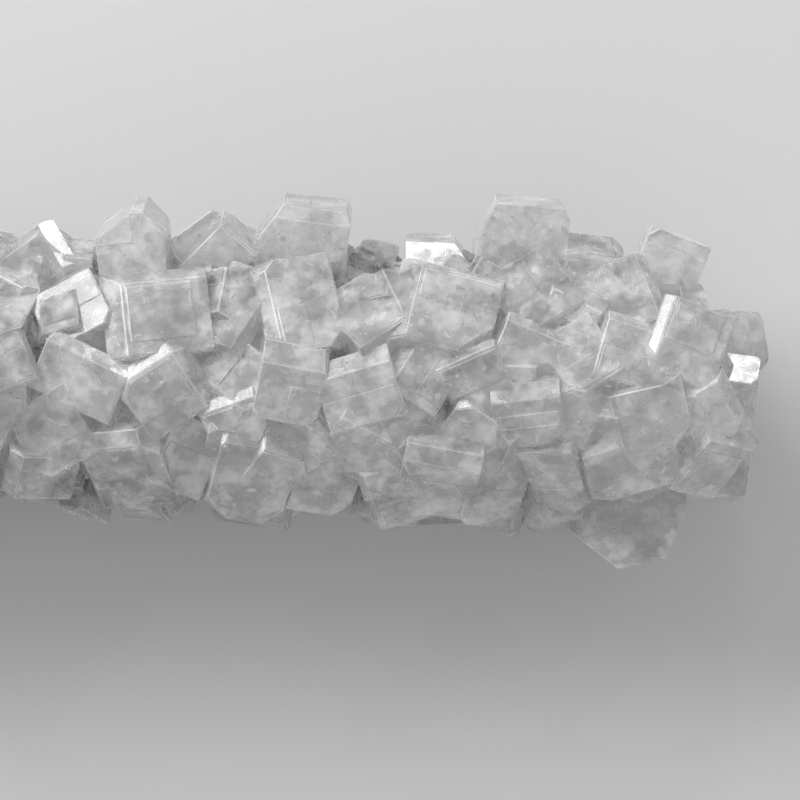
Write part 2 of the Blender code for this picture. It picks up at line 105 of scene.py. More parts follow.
# along and reach place the middle of a crystal's free face, which stands "reach" from the axis.
# width runs along the rod and depth round it.
# lean tips the crystal towards the free end, pitch tips it round the rod, and spin turns it on its own axis.
# tail, tip, low and high slope off the free face's four sides: (across the face, down the side).
# tail and tip are the sides towards the rod's ends, and high is the side towards a smaller "around".
Crystal = namedtuple(
    "Crystal",
    "along around reach width depth lean pitch spin tail tip low high",
    defaults=(0.0, 0.0, 0.0, NO_CUT, NO_CUT, NO_CUT, NO_CUT),
)

# skew is the lean of two of the sides. corners lists the cut corners: (side along X, side along Y, depth).
Growth = namedtuple("Growth", "skew corners")
CORNER_SHARE = 0.4
CORNER_SIZES = (0.14, 0.36)
CORNER_SLOPE = 0.9

# A crystal as it stands on the rod: placing carries its own frame to the rod's, and length reaches its root
Grown = namedtuple("Grown", "crystal placing length growth")

# The crystals along the outline on the +Y side
CREST = [
    Crystal(-16.4, -6, 13.6, 5.0, 6.5, tip=(0.3, 0.4)),
    Crystal(-11.0, 18, 14.8, 6.6, 6.2, tail=(3.3, 2.3), tip=(3.3, 2.4)),
    Crystal(-7.3, 26, 13.3, 2.8, 4.5, lean=6),
    Crystal(-2.8, 17, 16.7, 6.2, 6.6, lean=-6, tail=(3.4, 1.9), tip=(1.7, 2.2)),
    Crystal(2.5, 4, 14.3, 5.2, 6.0, lean=-36),
    Crystal(7.3, 20, 14.4, 4.4, 6.0, lean=42),
    Crystal(13.3, 15, 16.9, 8.6, 7.2, lean=7, tail=(2.3, 3.9), tip=(0.5, 0.9), low=(0.8, 1.2)),
    Crystal(20.1, -12, 12.8, 3.6, 4.6, lean=14),
    Crystal(25.3, 14, 13.3, 5.8, 5.5, lean=2, tip=(1.3, 1.5), low=(1.6, 2.4)),
    Crystal(33.3, 12, 16.9, 8.3, 7.6, lean=5, tail=(1.5, 4.0), tip=(0.5, 1.0), high=(0.9, 1.4)),
    Crystal(39.8, 24, 13.1, 5.8, 7.0, lean=7, tip=(1.0, 0.9)),
    Crystal(47.8, 2, 13.3, 5.9, 6.8, lean=21),
]

# The faces that slant up from the middle towards the +Y side
UPPER = [
    Crystal(-14.4, 56, 13.2, 7.2, 7.6, lean=9, pitch=-6, spin=-17),
    Crystal(-7.8, 58, 13.0, 6.2, 7.4, lean=-12, pitch=8, spin=24, high=(1.6, 1.5)),
    Crystal(0.3, 64, 13.8, 9.5, 8.2, lean=3, pitch=4, spin=8, tail=(1.8, 1.1), high=(1.2, 1.0)),
    Crystal(7.2, 59, 12.9, 5.8, 8.6, lean=-13, pitch=-5, spin=-28, tip=(0.8, 1.0)),
    Crystal(13.0, 60, 13.5, 6.9, 9.2, lean=8, pitch=6, spin=14, tail=(1.0, 0.8)),
    Crystal(18.9, 60, 12.9, 6.4, 7.4, lean=-9, pitch=-11, spin=36),
    Crystal(26.0, 60, 13.8, 9.4, 8.2, lean=6, pitch=4, spin=-12, tail=(1.9, 1.2), high=(1.0, 0.8)),
    Crystal(33.6, 51, 13.2, 6.6, 8.2, lean=-12, pitch=8, spin=26, high=(0.9, 1.1)),
    Crystal(38.6, 52, 13.1, 5.4, 6.8, lean=11, pitch=-10, spin=-32, low=(1.4, 1.3)),
    Crystal(42.4, 54, 13.4, 5.2, 7.2, lean=-10, pitch=9, spin=15, tip=(0.9, 1.2)),
    Crystal(47.5, 76, 13.6, 6.6, 7.0, lean=10, pitch=6, spin=-19, tail=(0.8, 0.7)),
]

# The faces along the middle, some of which stand proud and show their sloping upper edges
MIDDLE = [
    Crystal(-13.6, 84, 14.0, 6.6, 5.2, lean=8, pitch=-9, spin=21, tip=(0.6, 0.9)),
    Crystal(-6.4, 89, 13.4, 8.0, 5.8, lean=-11, pitch=8, spin=-26, high=(1.2, 0.9)),
    Crystal(1.3, 94, 13.7, 7.1, 6.9, lean=7, pitch=9, spin=33, high=(0.9, 1.0), tip=(1.4, 0.9)),
    Crystal(7.2, 89, 13.1, 6.2, 6.0, lean=-14, pitch=-8, spin=-38, low=(1.2, 1.1)),
    Crystal(12.3, 93, 14.2, 5.9, 6.6, lean=9, pitch=10, spin=-11, high=(1.5, 1.4)),
    Crystal(18.2, 94, 13.9, 7.1, 6.7, lean=-5, pitch=9, spin=17, high=(1.6, 1.5)),
    Crystal(24.0, 87, 13.2, 6.0, 6.0, lean=13, pitch=-9, spin=-34, tail=(1.2, 1.0)),
    Crystal(28.7, 92, 13.6, 5.8, 6.6, lean=-9, pitch=6, spin=24, high=(0.7, 0.6)),
    Crystal(33.3, 80, 13.4, 5.8, 6.0, lean=8, pitch=9, spin=-21, high=(1.0, 0.8)),
    Crystal(33.2, 104, 14.3, 6.2, 5.8, lean=-4, pitch=11, spin=8, high=(1.2, 1.3)),
    Crystal(37.9, 81, 13.5, 5.2, 6.3, lean=-12, pitch=-8, spin=31),
    Crystal(42.1, 79, 13.8, 5.0, 5.8, lean=11, pitch=8, spin=-15, high=(0.8, 0.7)),
    Crystal(37.8, 104, 13.6, 5.2, 5.4, lean=11, pitch=6, spin=-27, tip=(0.9, 0.7)),
    Crystal(43.6, 105, 14.0, 7.8, 5.8, lean=-7, pitch=9, spin=16, tail=(1.3, 1.1)),
    Crystal(49.8, 104, 13.0, 5.4, 5.4, lean=12, pitch=6, spin=28, tip=(1.2, 1.4)),
]

# The faces that slant down from the middle towards the -Y side
LOWER = [
    Crystal(-14.7, 106, 13.3, 6.4, 6.0, lean=9, pitch=8, spin=-25, tip=(1.0, 1.3)),
    Crystal(-9.0, 112, 12.9, 6.4, 6.8, lean=-10, pitch=-9, spin=32),
    Crystal(-10.3, 134, 12.9, 6.2, 6.0, lean=11, pitch=7, spin=-14, tail=(1.0, 1.2)),
    Crystal(-2.9, 129, 13.4, 8.2, 9.2, lean=-6, pitch=8, spin=13, high=(1.2, 1.1), tail=(1.0, 1.4)),
    Crystal(3.1, 124, 12.6, 5.4, 7.2, lean=13, pitch=-8, spin=-31),
    Crystal(7.2, 107, 13.3, 5.6, 5.0, lean=-9, pitch=9, spin=22, high=(0.8, 0.7)),
    Crystal(8.7, 131, 13.7, 7.1, 9.4, lean=6, pitch=-7, spin=-15, high=(1.2, 1.2)),
    Crystal(12.6, 116, 13.1, 6.2, 6.0, lean=-12, pitch=8, spin=37, tip=(0.9, 1.3)),
    Crystal(15.4, 136, 13.0, 5.7, 7.2, lean=9, pitch=-9, spin=-20),
    Crystal(18.6, 119, 13.3, 6.6, 6.6, lean=-8, pitch=7, spin=-28, high=(1.0, 0.8)),
    Crystal(21.6, 143, 13.4, 5.9, 7.4, lean=9, pitch=-10, spin=11, tail=(0.8, 1.0)),
    Crystal(25.2, 135, 13.7, 7.0, 9.2, lean=-7, pitch=8, spin=-9, high=(1.4, 1.0)),
    Crystal(23.8, 111, 13.2, 5.6, 6.0, lean=13, pitch=-9, spin=26),
    Crystal(28.4, 113, 13.3, 5.8, 5.4, lean=-11, pitch=10, spin=-33, tip=(0.8, 0.9)),
    Crystal(30.8, 137, 13.4, 5.2, 9.2, lean=11, pitch=-9, spin=-16),
    Crystal(35.4, 135, 13.3, 6.0, 9.2, lean=-12, pitch=8, spin=14, tail=(1.1, 1.4)),
    Crystal(42.6, 124, 13.2, 8.4, 6.8, lean=7, pitch=-6, spin=14, high=(1.6, 1.4)),
    Crystal(50.2, 130, 12.9, 5.8, 6.8, lean=11, pitch=8, spin=-27, tip=(1.0, 1.2)),
]

# The crystals along the outline on the -Y side
KEEL = [
    Crystal(-16.6, 184, 9.1, 5.6, 6.0, lean=-12, spin=9),
    Crystal(-10.6, 166, 11.0, 6.6, 6.4, lean=1, spin=-4, tail=(0.9, 1.2)),
    Crystal(-6.3, 182, 11.5, 2.4, 3.0, lean=-6, tail=(1.0, 0.9), tip=(1.0, 0.9)),
    Crystal(-2.3, 168, 12.7, 5.8, 6.6, lean=-5, spin=5, tail=(1.1, 1.0), tip=(0.4, 1.4)),
    Crystal(3.1, 188, 10.2, 3.2, 5.0, lean=-20, spin=12),
    Crystal(8.0, 166, 13.1, 7.0, 7.0, lean=-9, spin=2, high=(1.0, 1.3)),
    Crystal(15.2, 184, 12.0, 4.4, 6.0, lean=-17, spin=-8),
    Crystal(19.9, 163, 13.3, 3.4, 5.2, lean=-8, spin=6),
    Crystal(25.0, 178, 13.5, 7.4, 6.6, lean=2, spin=-3, low=(1.0, 1.0)),
    Crystal(31.0, 187, 13.9, 4.3, 6.2, lean=-17, spin=7),
    Crystal(36.0, 167, 13.8, 4.7, 6.4, lean=9, spin=-5, tail=(1.2, 1.0)),
    Crystal(43.7, 182, 16.8, 11.2, 11.4, lean=11, tail=(3.7, 4.3), tip=(3.0, 4.4), low=(2.6, 2.4)),
]

# The crystals that stand on the table, each on its level free face
FEET = [
    Crystal(-41.0, 262, 13.9, 6.8, 5.6, spin=18, tail=(0.8, 0.9), low=(0.9, 1.0)),
    Crystal(-22.5, 276, 13.9, 5.8, 6.6, spin=-24, tip=(0.9, 1.1), high=(0.8, 0.9)),
    Crystal(0.5, 268, 13.9, 7.4, 6.4, spin=9, tail=(1.0, 1.0), tip=(0.7, 1.1)),
    Crystal(21.0, 278, 13.9, 6.0, 5.8, spin=-15, low=(1.1, 1.0)),
    Crystal(41.5, 264, 13.9, 7.0, 6.8, spin=28, high=(1.0, 1.2), tip=(0.8, 0.8)),
]

# Crystals at the free end face along +X. reach is then how far the face stands along the rod, along is
# how far it stands from the axis, and around is the side of the axis that it stands towards.
FREE_END = [
    Crystal(2.6, -10, 55.6, 7.0, 8.0, lean=-8, tail=(0.4, 1.6), tip=(2.0, 2.0), high=(1.4, 1.2)),
    Crystal(-2.4, -10, 53.9, 4.6, 7.0),
    Crystal(-7.9, -6, 54.1, 6.9, 7.4, lean=8, tail=(1.2, 2.6), tip=(0.3, 0.4), high=(1.1, 1.5)),
]

# Narrow crystals between the listed ones, each with one face that catches the light
SLIVERS = [
    Crystal(-9.2, 29, 14.2, 1.6, 5.2, lean=8, pitch=33, spin=34),
    Crystal(52.5, 82, 7.4, 4.0, 3.0, lean=-3, pitch=-22, spin=-10),
]

# Low on the -Y side, where the outline keeps the listed crystals short
FLANK = [
    Crystal(-21.2, 208, 12.8, 6.2, 6.6, lean=7, pitch=-7, spin=18, tip=(1.0, 1.2)),
    Crystal(-14.4, 212, 10.5, 6.4, 6.2, lean=-8, pitch=6, spin=-14),
    Crystal(-9.0, 203, 10.9, 6.0, 6.4, lean=8, pitch=-5, spin=20),
    Crystal(-8.4, 224, 12.8, 6.2, 6.0, lean=-6, pitch=6, spin=-24, tail=(0.9, 1.1)),
    Crystal(-3.0, 211, 12.5, 6.0, 6.6, lean=8, pitch=-6, spin=-12, high=(1.0, 0.9)),
    Crystal(-1.6, 232, 13.0, 5.8, 5.6, lean=-5, pitch=7, spin=26),
    Crystal(3.2, 215, 11.2, 5.8, 6.4, lean=7, pitch=5, spin=22),
    Crystal(8.8, 208, 13.2, 6.2, 6.6, lean=-8, pitch=-5, spin=-18, tip=(1.1, 1.0)),
]

# Grown at random: the underside, the rest of the length and both ends
SEED = 24
SHOWN_ROWS = (10.0, 52.0, 92.0, 132.0, 172.0)
UNDER_ROWS = (216.0, 250.0, 290.0, 324.0)
SHOWN_TAIL = -19.0  # the listed crystals start here
PITCH_ALONG = 6.6
JITTER_ALONG = 1.1
JITTER_AROUND = 5.0
SIZES = (5.2, 9.2)
TILT = 12.0
SPIN = 30.0
UNCUT_SHARE = 0.45  # sides of the free face that are left uncut
CUT_ACROSS = (0.1, 0.32)
CUT_STEEPNESS = (0.6, 1.7)
SHOWN_REACH = (12.6, 14.6)
UNDER_REACH = (12.0, 13.0)
TALL_SHARE = 0.22
TALL_EXTRA = (1.4, 2.8)
UNDER_SPREAD = 12.6  # how far the underside's crystals stand out sideways
BEHIND_OUTLINE = 0.9
MOST_LOWERED = 3.5
END_LENGTH = 12.0
END_SIZES = (5.2, 7.6)
# count, radius, how far set back, and outward lean
END_RINGS = ((3, 2.4, 1.2, (4.0, 14.0)), (8, 6.4, 3.0, (16.0, 34.0)))
END_JITTER_AROUND = 12.0
END_JITTER_RADIUS = 0.8
END_JITTER_REACH = 1.2
FREE_END_BACK = 2.6  # the free end's rings stay behind the listed crystals
CORE_MARGIN = 2.0  # the rows on the side stop this far short of the core's ends
SMALL_CRYSTALS = 70
SMALL_SIZES = (2.2, 4.2)
SMALL_REACH = (12.0, 13.4)
SMALL_TILT = 40.0
SMALL_SPIN = 45.0
SMALL_ROOT = 1.0  # how deep a small crystal's root goes into the core

# Many crystals have a smaller twin that grows out of the same place, turned and mostly less tall.
# share is how many have one, slide how far it moves along in crystal widths, sunk how much lower its
# face stands, and turn how far it is turned.
Twins = namedtuple("Twins", "share slide sunk turn")
OUTLINE_TWINS = Twins(0.55, 0.0, (1.6, 2.6), (18.0, 45.0))
FRONT_TWINS = Twins(0.5, 0.4, (-0.1, 1.0), (12.0, 40.0))
ROW_TWINS = Twins(0.55, 0.4, (-0.8, 0.7), (18.0, 45.0))
TWIN_SIZES = (0.5, 0.85)
TWIN_MOVED_ROUND = 0.4

# Growth steps: low plates that a crystal's faces carry, each set in from the one below
STEP_SEED = 7
STEP_HEIGHTS = (0.05, 0.14)
STEP_SUNK = 0.35
STEP_MOST = 2
STEP_NEAR = (0.1, 0.3)  # how far a plate stays from the edges that it grew from
STEP_FAR = (0.15, 0.6)  # and from the others, as a share of the face
STEP_SPAN_SHARE = 0.5  # plates that reach right across, one way
STEP_LEAST = 1.3  # narrower plates are left out
STEP_INSET = 0.15  # how far a plate ends from the crystal's slopes
STEPPED_LEAST = 3.4  # smaller crystals have none
WALL_STEP_SHARE = 0.4
WALL_SHOWN = 6.5  # how far down its sides a crystal can be seen

# Edges are slightly rounded, as sugar's are
EDGE_SIZES = (0.04, 0.12)
STEP_EDGE = 0.045

# Clearing up after the union
WELD = 0.0005

# Small crystals on the surface wherever it lies closer to the axis than the cleft depth
CLEFT_SEED = 11
CLEFT_SIZES = {"Per square mm": 0.1, "Smallest": 0.9, "Largest": 3.6, "Cleft depth": 10.6}
CLEFT_TILT = 0.8
CLEFT_CLEARANCE = 2.0  # none grow closer to the table than this
CLEFT_FROM_END = 12.0  # beyond this far from the core's ends, the depth is taken from the axis's end
HABITS = 5  # different shapes, which are all about 1 mm across before they are scaled
HABIT_SIZES = (0.8, 1.2)
HABIT_LENGTH = 1.2
HABIT_EDGE = 0.04
HABIT_CLARITY = 0.5

# Milky veils under the surface: flat puffs, turned any way
VEIL_SEED = 23
VEIL_SIZES = {"Per square mm": 0.2, "Shallowest": 0.5, "Deepest": 2.4, "Smallest": 0.3, "Largest": 1.3}
VEIL_THICKNESS = 0.12

# How clear each small crystal or veil is
CLARITY_SEED = 3

# Noise is (scale, detail, roughness). Clouds and flecks are scaled per metre, and the ripples on a
# crystal's faces per millimetre of its own frame.
CLOUDS = (400.0, 6.0, 0.6)
FLECKS = (1500.0, 2.0, 0.6)
RIPPLES = (0.3, 2.0, 0.5)
RIPPLE_HEIGHT = 0.0003

# Sugar. A range (from low, from high, to low, to high) carries one value to another.
MILK_OF_CLOUDS = (0.36, 0.64, 0.25, 0.85)  # 0 is clear and 1 is white
MILK_OF_CLARITY = -0.3
# worn edges turn frostier: partly wear, partly a painted highlight along the rims
MILK_OF_WEAR_AND_RIM_HIGHLIGHT = 0.15
LIGHT_THROUGH = (0.0, 1.0, 0.98, 0.46)  # the share that passes, from clear to milky
TONE_OF_CLOUDS = (0.3, 0.7, 0.86, 0.97)
TONE_OF_FLECKS = (0.3, 0.7, -0.14, 0.09)
# worn edges are painted whiter: partly wear, partly a painted highlight along the rims
TONE_OF_WEAR_AND_RIM_HIGHLIGHT = 0.12
ROUGHNESS_OF_FLECKS = (0.3, 0.7, 0.08, 0.2)
ROUGHNESS_OF_WEAR = 0.2
RIPPLES_OF_CLARITY = (0.7, 1.0, 0.4, 0.05)  # the clearest crystals are the smoothest
BENDING = 1.54  # sugar's refractive index
HAZE = 130.0  # scattering inside, per metre

# Veils, table and studio, as grey tones
VEIL_TONE = 0.95
VEIL_ROUGHNESS = 0.5
VEIL_ALPHA = 0.45
TABLE_TONE = 0.62
TABLE_ROUGHNESS = 0.6
TABLE_REACH = 3.0  # metres from its middle to each side
STUDIO_TONE = 0.8
STUDIO_STRENGTH = 0.65

# Lights, in metres and watts, all aimed at the middle of what the camera shows
Light = namedtuple("Light", "name place size power")
LIGHTS = [
    Light("lamp", (0.06, 1.04, 0.62), (0.14, 0.08), 0.9),  # whitens the faces that slant towards it
    Light("key", (-0.42, 0.48, 0.42), (0.5, 0.4), 5.8),
    Light("fill", (0.15, -0.8, 0.45), (1.4, 0.9), 1.2),
    Light("strip", (0.02, 1.6, 0.2), (2.0, 0.16), 3.0),
]
LIT_PLACE = (0.02, 0.0, 0.015)

# The camera looks straight down, from this far above the rod's axis
CAMERA_OVER = (21.9, -1.87)
CAMERA_ABOVE_AXIS = 249.0
CAMERA_LENS = 120.0
CAMERA_SENSOR = 36.0
CAMERA_NEAR = 0.01  # metres

# How often light may bounce
BOUNCES = 16
BOUNCES_THROUGH = 14
BOUNCES_IN_HAZE = 6


def new_collection(name):
    made = bpy.data.collections.new(name)
    bpy.context.scene.collection.children.link(made)
    return made


def slice_off(bm, point, normal):
    """Cuts away what lies beyond a plane and closes the cut."""
    cut = bmesh.ops.bisect_plane(
        bm,
        geom=bm.verts[:] + bm.edges[:] + bm.faces[:],
        dist=1e-5,
        plane_co=point,
        plane_no=normal,
        clear_outer=True,
    )
    rim = [e for e in cut["geom_cut"] if isinstance(e, bmesh.types.BMEdge)]
    if rim:
        bmesh.ops.edgeloop_fill(bm, edges=rim)


def trim_side(bm, side, half_size, cut, inset):
    """Slopes off the free face towards one side, by cut[0] across the face and cut[1] down the side."""
    across, down = cut
    if across <= 0 or down <= 0:
        return
    facing = (side * down + Vector((0, 0, across))).normalized()
    slice_off(bm, side * (half_size - across) - facing * inset, facing)


def trim(bm, grown, inset=0.0):
    """Slopes off the free face's sides and corners as the crystal's cuts say, or a little further in."""
    crystal = grown.crystal
    half_x, half_y = crystal.width / 2, crystal.depth / 2
    trim_side(bm, Vector((-1, 0, 0)), half_x, crystal.tail, inset)
    trim_side(bm, Vector((1, 0, 0)), half_x, crystal.tip, inset)
    trim_side(bm, Vector((0, -1, 0)), half_y, crystal.low, inset)
    trim_side(bm, Vector((0, 1, 0)), half_y, crystal.high, inset)
    for side_x, side_y, size in grown.growth.corners:
        facing = Vector((side_x, side_y, CORNER_SLOPE)).normalized()
        slice_off(bm, Vector((side_x * half_x, side_y * half_y, -size)) - facing * inset, facing)


def box(low, high):
    bm = bmesh.new()
    bmesh.ops.create_cube(bm, size=1.0)
    bmesh.ops.scale(bm, verts=bm.verts, vec=high - low)
    bmesh.ops.translate(bm, verts=bm.verts, vec=(low + high) / 2)
    return bm


def ease_edges(bm, size):
    """Bevels every edge and marks the new faces as worn edges, which the sugar paints whiter: partly wear,
    partly a painted highlight along the rims.
    """
    bmesh.ops.recalc_face_normals(bm, faces=bm.faces)
    worn = bm.faces.layers.float.new("worn")
    eased = bmesh.ops.bevel(
        bm, geom=bm.edges, offset=size, segments=1, profile=0.5, affect="EDGES", clamp_overlap=True
    )
    for face in bm.faces:
        face[worn] = 0.0
    for face in eased["faces"]:
        face[worn] = 1.0


def crystal_block(grown):
    """The crystal's block, its free face at Z = 0 and its root below."""
    crystal = grown.crystal
    half = Vector((crystal.width / 2, crystal.depth / 2, 0))
    bm = box(-half - Vector((0, 0, grown.length)), half)
    trim(bm, grown)
    return bm


def own_turn(crystal):
    """The crystal's own lean, pitch and spin about the middle of its free face."""
    return (
        Matrix.Rotation(math.radians(crystal.lean), 4, "Y")
        @ Matrix.Rotation(math.radians(crystal.pitch), 4, "X")
        @ Matrix.Rotation(math.radians(crystal.spin), 4, "Z")
    )


def on_side(crystal):
    """Where a crystal on the rod's side stands."""
    return (
        Matrix.Translation((0, 0, AXIS_HEIGHT))
        @ Matrix.Rotation(math.radians(crystal.around - 90), 4, "X")
        @ Matrix.Translation((crystal.along, 0, crystal.reach))
        @ own_turn(crystal)
    )


def on_end(crystal, facing):
    """Where a crystal on an end stands: facing is 1 for the free end and -1 for the other."""
    return (
        Matrix.Translation((0, 0, AXIS_HEIGHT))
        @ Matrix.Rotation(math.radians(crystal.around), 4, "X")
        @ Matrix.Translation((facing * crystal.reach, crystal.along, 0))
        @ Matrix.Rotation(math.radians(facing * 90), 4, "Y")
        @ Matrix.Rotation(math.radians(-90), 4, "Z")
        @ own_turn(crystal)
    )


def random_growth(rng, crystal):
    """How the crystal's sides lean, and which corners of its free face are cut off."""
    smaller = min(crystal.width, crystal.depth)
    corners = [
        (side_x, side_y, rng.uniform(*CORNER_SIZES) * smaller)
        for side_x, side_y in ((-1, -1), (-1, 1), (1, -1), (1, 1))
        if rng.random() < CORNER_SHARE
    ]
    return Growth(rng.choice((-OBLIQUE, 0.0, OBLIQUE)), corners)


def random_cut(rng, size):
    """A slope that trims one side, or none."""
    if rng.random() < UNCUT_SHARE:
        return NO_CUT
    across = rng.uniform(*CUT_ACROSS) * size
    return (across, across * rng.uniform(*CUT_STEEPNESS))


def random_crystal(rng, along, around, reach, sizes, tilt, spin):
    width = rng.uniform(*sizes)
    depth = rng.uniform(*sizes)
    return Crystal(
        along,
        around,
        reach,
        width,
        depth,
        lean=rng.uniform(-tilt, tilt),
        pitch=rng.uniform(-tilt, tilt),
        spin=rng.uniform(-spin, spin),
        tail=random_cut(rng, width),
        tip=random_cut(rng, width),
        low=random_cut(rng, depth),
        high=random_cut(rng, depth),
    )


def twin_of(rng, crystal, twins):
    """A smaller crystal grown through the first."""
    scale = rng.uniform(*TWIN_SIZES)
    moved_round = rng.uniform(-TWIN_MOVED_ROUND, TWIN_MOVED_ROUND) * crystal.depth / crystal.reach
    width = crystal.width * scale
    depth = crystal.depth * scale
    return crystal._replace(
        along=crystal.along + rng.uniform(-twins.slide, twins.slide) * crystal.width,
        around=crystal.around + math.degrees(moved_round),
        reach=crystal.reach - rng.uniform(*twins.sunk),
        width=width,
        depth=depth,
        lean=crystal.lean + rng.uniform(-TILT, TILT),
        pitch=crystal.pitch + rng.uniform(-TILT, TILT),
        spin=crystal.spin + rng.choice((-1, 1)) * rng.uniform(*twins.turn),
        tail=random_cut(rng, width),
        tip=random_cut(rng, width),
        low=random_cut(rng, depth),
        high=random_cut(rng, depth),
    )


def side_limit(crystal):
    """How far an unlisted crystal may stand out sideways, behind the listed crystals that it meets."""
    listed = CREST if math.cos(math.radians(crystal.around)) > 0 else KEEL
    met = [c.reach for c in listed if abs(c.along - crystal.along) < (c.width + crystal.width) / 2]
    return min(met) - BEHIND_OUTLINE if met else UNDER_SPREAD


def kept_in(crystal):
    """The same crystal, lowered so that it stays behind the outline."""
    turn = math.radians(crystal.around)
    spin = math.radians(crystal.spin)
    half = crystal.depth / 2 * abs(math.cos(spin)) + crystal.width / 2 * abs(math.sin(spin))
    spread = crystal.reach * abs(math.cos(turn)) + half * abs(math.sin(turn))
    lower = max(0.0, spread - side_limit(crystal)) / max(abs(math.cos(turn)), 0.1)
    return crystal._replace(reach=crystal.reach - min(lower, MOST_LOWERED))


def grow(group, rng, crystal, placing, length):
    group.append(Grown(crystal, placing, length, random_growth(rng, crystal)))


def grow_side(group, rng, crystal):
    grow(group, rng, crystal, on_side(crystal), crystal.reach - ROOT_RADIUS)


def grow_listed(group, rng):
    """The crystals in the lists, many with a twin."""
    for crystals, twins in ((CREST + KEEL, OUTLINE_TWINS), (UPPER + MIDDLE + LOWER, FRONT_TWINS)):
        for crystal in crystals:
            grow_side(group, rng, crystal)
            if rng.random() < twins.share:
                grow_side(group, rng, twin_of(rng, crystal, twins))
    for crystal in FEET:
        grow_side(group, rng, crystal)
    for crystal in FREE_END:
        grow(group, rng, crystal, on_end(crystal, 1), END_LENGTH)


def grow_rows(group, rng):
    """The rows that no list holds: the underside, and every row behind the listed stretch."""
    for around in SHOWN_ROWS + UNDER_ROWS:
        under = around in UNDER_ROWS
        tip = CORE_TIP - CORE_MARGIN if under else SHOWN_TAIL
        along = CORE_TAIL + rng.uniform(0.0, PITCH_ALONG)
        while along < tip:
            crystal = random_crystal(
                rng,
                along + rng.uniform(-JITTER_ALONG, JITTER_ALONG),
                around + rng.uniform(-JITTER_AROUND, JITTER_AROUND),
                rng.uniform(*(UNDER_REACH if under else SHOWN_REACH)),
                SIZES,
                TILT,
                SPIN,
            )
            if not under and rng.random() < TALL_SHARE:
                crystal = crystal._replace(reach=crystal.reach + rng.uniform(*TALL_EXTRA))
            both = [crystal]
            if rng.random() < ROW_TWINS.share:
                both.append(twin_of(rng, crystal, ROW_TWINS))
            for each in both:
                grow_side(group, rng, kept_in(each) if under else each)
            along += PITCH_ALONG


def grow_ends(group, rng):
    """Rings of crystals that close the two ends and lean outwards."""
    for facing in (-1, 1):
        for count, radius, set_back, leans in END_RINGS:
            for n in range(count):
                around = 360.0 * n / count + rng.uniform(-END_JITTER_AROUND, END_JITTER_AROUND)
                reach = ROD_LENGTH / 2 - set_back - rng.uniform(0.0, END_JITTER_REACH)
                if facing > 0 and math.cos(math.radians(around)) > 0:
                    reach -= FREE_END_BACK
                off_axis = radius + rng.uniform(-END_JITTER_RADIUS, END_JITTER_RADIUS)
                crystal = random_crystal(rng, off_axis, around, reach, END_SIZES, TILT, SPIN)
                crystal = crystal._replace(lean=-facing * rng.uniform(*leans))
                grow(group, rng, crystal, on_end(crystal, facing), END_LENGTH)


def grow_small(group, rng):
    """The small crystals that fill the clefts between the large ones."""
    for _ in range(SMALL_CRYSTALS):
        along = rng.uniform(CORE_TAIL + CORE_MARGIN, CORE_TIP - CORE_MARGIN)
        around = rng.uniform(0.0, 360.0)
        reach = rng.uniform(*SMALL_REACH)
        crystal = kept_in(random_crystal(rng, along, around, reach, SMALL_SIZES, SMALL_TILT, SMALL_SPIN))
        grow(group, rng, crystal, on_side(crystal), crystal.reach - CORE_RADIUS + SMALL_ROOT)


def grow_last(group, rng):
    """The narrow crystals, and those low on the -Y side."""
    for crystal in SLIVERS + FLANK:
        grow_side(group, rng, crystal)


def grow_all():
    group = []
    rng = random.Random(SEED)
    grow_listed(group, rng)
    grow_rows(group, rng)
    grow_ends(group, rng)
    grow_small(group, rng)
    grow_last(group, rng)
    return group


def finish_block(bm, grown, clarity, edge, group):
    """Eases the block's edges, marks its faces with their crystal's own frame, and stands it on the rod."""
    ease_edges(bm, edge)
    own = bm.loops.layers.float_vector.new("own")
    clear = bm.faces.layers.float.new("clarity")
    for face in bm.faces:
        face[clear] = clarity
        for loop in face.loops:
            loop[own] = loop.vert.co
    shear = Matrix.Identity(4)
    shear[1][2] = math.tan(grown.growth.skew)
    bmesh.ops.transform(bm, matrix=grown.placing @ shear, verts=bm.verts)
    mesh = bpy.data.meshes.new("crystal")
    bm.to_mesh(mesh)
    bm.free()
    group.objects.link(bpy.data.objects.new("crystal", mesh))


def faces_to_step(crystal, length):
    """The faces that may carry steps: (turn that brings +Z out of the face, centre, half sizes)."""
    half = Vector((crystal.width / 2, crystal.depth / 2))
    tail, tip, low, high = crystal.tail, crystal.tip, crystal.low, crystal.high
    shown = min(length, WALL_SHOWN)
    yield (
        Matrix.Identity(4),
        Vector(((tail[0] - tip[0]) / 2, (low[0] - high[0]) / 2, 0)),
        ((crystal.width - tail[0] - tip[0]) / 2, (crystal.depth - low[0] - high[0]) / 2),
    )
    for side, cut in ((-1, tail), (1, tip)):
        middle = -(cut[1] + shown) / 2
        turn = Matrix.Rotation(math.radians(side * 90), 4, "Y")
        yield turn, Vector((side * half.x, 0, middle)), ((shown - cut[1]) / 2, half.y)
    for side, cut in ((-1, low), (1, high)):
        middle = -(cut[1] + shown) / 2
        turn = Matrix.Rotation(math.radians(-side * 90), 4, "X")
        yield turn, Vector((0, side * half.y, middle)), (half.x, (shown - cut[1]) / 2)


def step_plates(rng, half):
    """Nested plates for one face, each as its lowest and highest corner, with +Z out of the face."""
    sides = [-half[0], -half[1], half[0], half[1]]
    grown_from = [rng.choice((0, 2)), rng.choice((1, 3))]
    if rng.random() < STEP_SPAN_SHARE:
        grown_from.append(2 - grown_from[0])
    height = 0.0
    for _ in range(rng.randint(1, STEP_MOST)):
        for k in range(4):
            span = 2 * half[k % 2]
            inset = rng.uniform(*STEP_NEAR) if k in grown_from else rng.uniform(*STEP_FAR) * span
            sides[k] += inset if k < 2 else -inset
        height += rng.uniform(*STEP_HEIGHTS)
        if min(sides[2] - sides[0], sides[3] - sides[1]) < STEP_LEAST:
            return
        yield Vector((sides[0], sides[1], -STEP_SUNK)), Vector((sides[2], sides[3], height))


